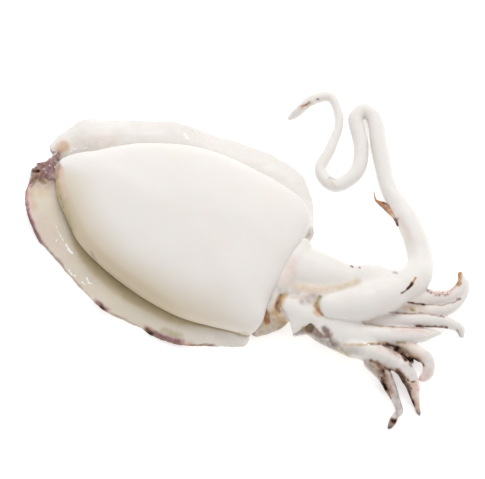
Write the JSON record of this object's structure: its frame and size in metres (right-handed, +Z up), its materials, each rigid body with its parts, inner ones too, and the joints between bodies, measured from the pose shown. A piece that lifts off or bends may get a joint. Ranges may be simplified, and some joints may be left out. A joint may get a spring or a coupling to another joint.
{
  "type": "whole raw cuttlefish",
  "caption": "Whole raw cuttlefish, cleaned and skinned, lying flat: domed mantle edged by soft fins, head with short curled arms, and a long tentacle laid in a double bend.",
  "frame": {"origin": "under the middle of the box that holds the animal, on the surface it lies on", "axes": "+Z up, +X from the tail end towards the arms, +Y towards the side where the long tentacle lies"},
  "size_m": [0.3182, 0.2556, 0.038],
  "materials": {
    "flesh": "wet, glossy, slightly translucent off-white raw flesh with purple-brown traces of skin"
  },
  "bodies": {
    "root": {"cuttlefish": "flesh"}
  },
  "joints": []
}
